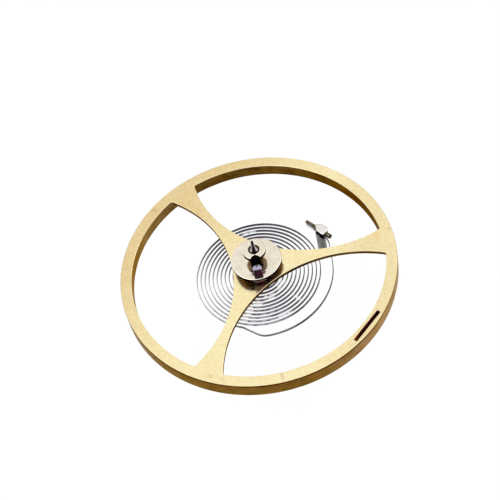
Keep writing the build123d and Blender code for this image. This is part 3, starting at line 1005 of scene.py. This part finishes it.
def hairspring(s):
    inner, across = innerEnd(s)
    outer = outerEnd(s)
    count = s["quarterTurns"] * s["stepsPerQuarter"]
    mesh = bpy.data.meshes.new("hairspringEnds")
    mesh.from_pydata([(p.x * mm, p.y * mm, 0) for p in inner + outer], [], [])
    places = [*range(-len(inner), 0), *range(count, count + len(outer))]
    mesh.attributes.new("order", "FLOAT", "POINT").data.foreach_set("value", places)
    made = linked("hairspringRibbon", mesh)
    values = {
        "Inner Radius": s["innerRadius"] * mm,
        "Quarter Step": s["pitch"] / 4 * mm,
        "Start Turn": s["endTurn"] - 90.0 * s["quarterTurns"],
        "Quarter Turns": s["quarterTurns"],
        "Steps": s["stepsPerQuarter"],
        "Level": springLevel * mm,
        "Thickness": s["thickness"] * mm,
        "Height": s["height"] * mm,
        "Edge Round": s["edgeRound"] * mm,
        "Sheen Side": (*direction(s["sheenSide"]), 0.0),
        "Sheen Rim": (*direction(s["sheenRim"]), 0.0),
        "Rim Radius": s["sheenRimRadius"] * mm,
        "Material": springSteel[0],
    }
    modifier = made.modifiers.new("rule", "NODES")
    modifier.node_group = springTree(s, values)
    for socket in modifier.node_group.interface.items_tree:
        if socket.name in values:
            modifier[socket.identifier] = values[socket.name]
    applied(made)
    for face in made.data.polygons:
        face.use_smooth = True
    return made, across


springPiece, colletAcross = hairspring(spring)
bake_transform(springPiece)
along = [0.0] * len(springPiece.data.vertices)
springPiece.data.attributes["along"].data.foreach_get("value", along)
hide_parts("hairspring")
print("made", springPiece.name)


# Collet and its pin

collet = {
    "bore": 0.27,
    "edge": 0.03,
    "slit": 0.05,
    "holeToAxis": 0.41,
    "hole": 0.08,
    "segments": 120,
    "pinToAxis": 0.37,
    "pinThick": 0.04,
    "pinThin": 0.034,
    "pinThickOver": 0.06,
    "pinThinOver": 0.01,
    "pinRound": 0.008,
    "drillShare": 2.4,
}


def laidPin(name, thick, thin, length, endRound, place, segments=40):
    # taper pin from its thick end, cut square and rubbed round at both ends, laid along the local Y
    profile = [(0, 0)] + [(thick - inwards, height) for inwards, height in rounded(endRound, 0, down=True)]
    profile += [(thin - inwards, height) for inwards, height in rounded(endRound, length)] + [(0, length)]
    bm = bmesh.new()
    turned(bm, profile, segments, (1, 1, 1, 1, 0, 1, 1, 1, 1))
    bm.transform(place @ spun(-90, "X"))
    return weighted(toObject(name, bm, pinBrass))


def drill(radius, length, place, segments=48):
    # cutter for a cross hole along the local Y, centred on its place
    bm = bmesh.new()
    turned(bm, [(0, -length / 2), (radius, -length / 2), (radius, length / 2), (0, length / 2)], segments)
    bm.transform(place @ spun(-90, "X"))
    return toObject("drill", bm, [])


def colletRing(c):
    radius, bore, edge, half = colletHigh.x, c["bore"], c["edge"], c["slit"] / 2
    outerTurn = degrees(asin(half / radius))
    innerTurn = degrees(asin(half / bore))
    outline = arc((0, 0), radius, outerTurn, 360 - outerTurn, c["segments"])
    outline.append(radius * direction(-outerTurn))
    outline += arc((0, 0), bore, 360 - innerTurn, innerTurn, c["segments"])
    outline.append(bore * direction(innerTurn))
    steps = [(edge, colletLow.z), (0, colletLow.z + edge), (0, colletHigh.z - edge), (edge, colletHigh.z)]
    bm = bmesh.new()
    prism(bm, turnedBy(outline, colletAcross + 180), steps)
    made = toObject("colletBrass", bm, colletBrass)
    place = spun(colletAcross) @ Matrix.Translation((c["holeToAxis"], 0, springLevel))
    booleanWith(made, drill(c["hole"], c["drillShare"] * radius, place), "DIFFERENCE")
    return weighted(made)


def colletPin(c):
    half = sqrt(colletHigh.x ** 2 - c["pinToAxis"] ** 2)
    length = 2 * half + c["pinThickOver"] + c["pinThinOver"]
    place = spun(colletAcross) @ Matrix.Translation((c["pinToAxis"], -half - c["pinThickOver"], springLevel))
    return laidPin("colletPin", c["pinThick"], c["pinThin"], length, c["pinRound"], place)


fit(colletRing(collet), "balance", "collet")
fit(colletPin(collet), "balance", "collet_pin")


# Stud and its pin

stud = {
    "post": 0.17,
    "postEdge": 0.03,
    "nose": 0.26,
    "noseBevel": 0.19,
    "tail": 0.3,
    "farBevel": 0.1,
    "nearBevel": 0.03,
    "near": 0.142,
    "far": 0.202,
    "headHeight": 0.32,
    "edge": 0.03,
    "hole": 0.117,
    "pinShift": 0.03,
    "pinThick": 0.087,
    "pinThin": 0.06,
    "pinThickOver": 0.195,
    "pinThinOver": 0.43,
    "pinRound": 0.012,
    "drillShare": 4,
    "flatFrom": 0.99,
    "segments": 64,
}


def studPlace():
    x, y, _ = studMount["pos_m"]
    return Matrix.Translation((x / mm, y / mm, springLevel)) @ spun(spring["studAcross"])


def studHead(s):
    near, far, nose, tail = -s["near"], s["far"], s["nose"], -s["tail"]
    corners = [
        ((near + far) / 2, nose), (near, nose - s["noseBevel"]), (near, tail + s["nearBevel"]),
        (near + s["nearBevel"], tail), (far - s["farBevel"], tail), (far, tail + s["farBevel"]),
        (far, nose - s["noseBevel"]),
    ]
    half = s["headHeight"] / 2
    bm = bmesh.new()
    steps = rounded(s["edge"] / 2, -half, down=True) + rounded(s["edge"], half)
    prism(bm, [Vector(c) for c in corners], steps, (2, 2, 2, 2, 0, 0, 0), (2, 0))
    bm.transform(studPlace())
    for face in bm.faces:
        # painted shade: the broken edges on the far side are darker
        face.normal_update()
        if face.material_index == 0 and face.normal.z < s["flatFrom"] and face.normal.y > 0:
            face.material_index = 3
    head = toObject("studSteel", bm, studSteel)
    bm = bmesh.new()
    bottom, top = studLow.z - springLevel, -half / 2
    profile = [(0, bottom), (s["post"] - s["postEdge"], bottom), (s["post"], bottom + s["postEdge"])]
    turned(bm, profile + [(s["post"], top), (0, top)], s["segments"], (1,))
    bm.transform(studPlace())
    booleanWith(head, toObject("post", bm, studSteel), "UNION")
    booleanWith(head, drill(s["hole"], s["drillShare"] * s["tail"], studPlace()), "DIFFERENCE")
    return weighted(head)


def studPin(s):
    length = s["nose"] + s["tail"] + s["pinThickOver"] + s["pinThinOver"]
    place = studPlace() @ Matrix.Translation((s["pinShift"], -s["tail"] - s["pinThickOver"], 0))
    return laidPin("studPin", s["pinThick"], s["pinThin"], length, s["pinRound"], place)


fit(studHead(stud), "stud_end", "stud")
fit(studPin(stud), "stud_end", "stud_pin")


# Floor, light and camera

stage = {
    "floorDrop": 3.0,
    "floorSize": 400.0,
    "floorColour": "#f4f4f4",
    "plainShare": 0.85,
    "plainLevel": 1.06,
}
sky = {"light": 0.72, "colour": "#ffffff"}
lamps = {
    "key": {"place": (-70, -40, 110), "size": 70, "radiance": 2.2},
    "fill": {"place": (90, 30, 80), "size": 60, "radiance": 1.2},
}
camera = {
    "elevation": 53.696,
    "turn": 2.56,
    "roll": -13.382,
    "distance": 49.9,
    "focal": 1394.4,
    "frame": 500,
    "sensor": 36.0,
    "across": 7.473,
    "down": 15.39,
    "clip": (0.005, 2.0),
}


def emptyTree(holder):
    holder.use_nodes = True
    holder.node_tree.nodes.clear()
    return holder.node_tree


def anyOf(tree, *rays):
    # 1 for rays of any of these kinds
    seen = rays[0]
    for ray in rays[1:]:
        seen = numberMath(tree, "MAXIMUM", seen, ray)
    return seen


def makeFloor(s):
    size, level = s["floorSize"] / 2 * mm, cadLow.z - s["floorDrop"] * mm
    corners = [(-size, -size, level), (size, -size, level), (size, size, level), (-size, size, level)]
    mesh = bpy.data.meshes.new("floor")
    mesh.from_pydata(corners, [], [(0, 1, 2, 3)])
    floor = linked("floor", mesh)
    made = bpy.data.materials.new("paperWhite")
    tree = emptyTree(made)
    paper = addNode(tree, "BsdfDiffuse", {"Color": linear(s["floorColour"])}).outputs[0]
    glow = addNode(tree, "Emission", {"Strength": s["plainLevel"]}).outputs[0]
    lifted = addNode(tree, "MixShader", {0: s["plainShare"], 1: paper, 2: glow}).outputs[0]
    white = addNode(tree, "Emission", {"Strength": 1.0}).outputs[0]
    rays = addNode(tree, "LightPath").outputs
    mirrored = anyOf(tree, rays["Is Glossy Ray"], rays["Is Transmission Ray"])
    forCamera = addNode(tree, "MixShader", {0: rays["Is Camera Ray"], 1: paper, 2: lifted}).outputs[0]
    shown = addNode(tree, "MixShader", {0: mirrored, 1: forCamera, 2: white}).outputs[0]
    addNode(tree, "OutputMaterial", {"Surface": shown})
    mesh.materials.append(made)


def makeSky(s):
    world = bpy.data.worlds.new("studio")
    bpy.context.scene.world = world
    tree = emptyTree(world)
    rays = addNode(tree, "LightPath").outputs
    seen = anyOf(tree, rays["Is Camera Ray"], rays["Is Glossy Ray"], rays["Is Transmission Ray"])
    light = addNode(tree, "Background", {"Color": linear(s["colour"]), "Strength": s["light"]}).outputs[0]
    white = addNode(tree, "Background", {"Color": linear(s["colour"]), "Strength": 1.0}).outputs[0]
    shown = addNode(tree, "MixShader", {0: seen, 1: light, 2: white}).outputs[0]
    addNode(tree, "OutputWorld", {"Surface": shown})


def makeLamps(kinds):
    target = Vector((0, 0, wheelHigh.z)) * mm
    for name, kind in kinds.items():
        data = bpy.data.lights.new(name, "AREA")
        data.size = kind["size"] * mm
        data.energy = kind["radiance"] * pi * data.size ** 2
        lamp = linked(name, data)
        lamp.location = Vector(kind["place"]) * mm
        lamp.rotation_mode = "QUATERNION"
        lamp.rotation_quaternion = (target - lamp.location).to_track_quat("-Z", "Y")


def makeCamera(c):
    # the photograph's view: turned about the staff, raised, rolled, and aimed a little beside the wheel
    raised, roll = radians(c["elevation"]), radians(c["roll"])
    back = Vector((0, -cos(raised), sin(raised)))
    right = Vector((1, 0, 0))
    down = right.cross(back)
    rows = Matrix((
        cos(roll) * right - sin(roll) * down,
        sin(roll) * right + cos(roll) * down,
        -back,
    ))
    aim = Vector((c["across"], c["down"], c["focal"])).normalized()
    rows = Vector((0, 0, 1)).rotation_difference(aim).to_matrix() @ rows
    axes = Matrix((rows[0], -rows[1], -rows[2])).transposed()
    place = Matrix.Translation((back * c["distance"] + Vector((0, 0, wheelHigh.z))) * mm)
    data = bpy.data.cameras.new("camera")
    data.sensor_width = c["sensor"]
    data.lens = c["focal"] / c["frame"] * c["sensor"]
    data.clip_start, data.clip_end = c["clip"]
    view = linked("camera", data)
    view.matrix_world = spun(c["turn"]) @ place @ axes.to_4x4()
    bpy.context.scene.camera = view


makeFloor(stage)
makeSky(sky)
makeLamps(lamps)
makeCamera(camera)
bpy.context.scene.view_settings.view_transform = "Standard"
print("stage set")
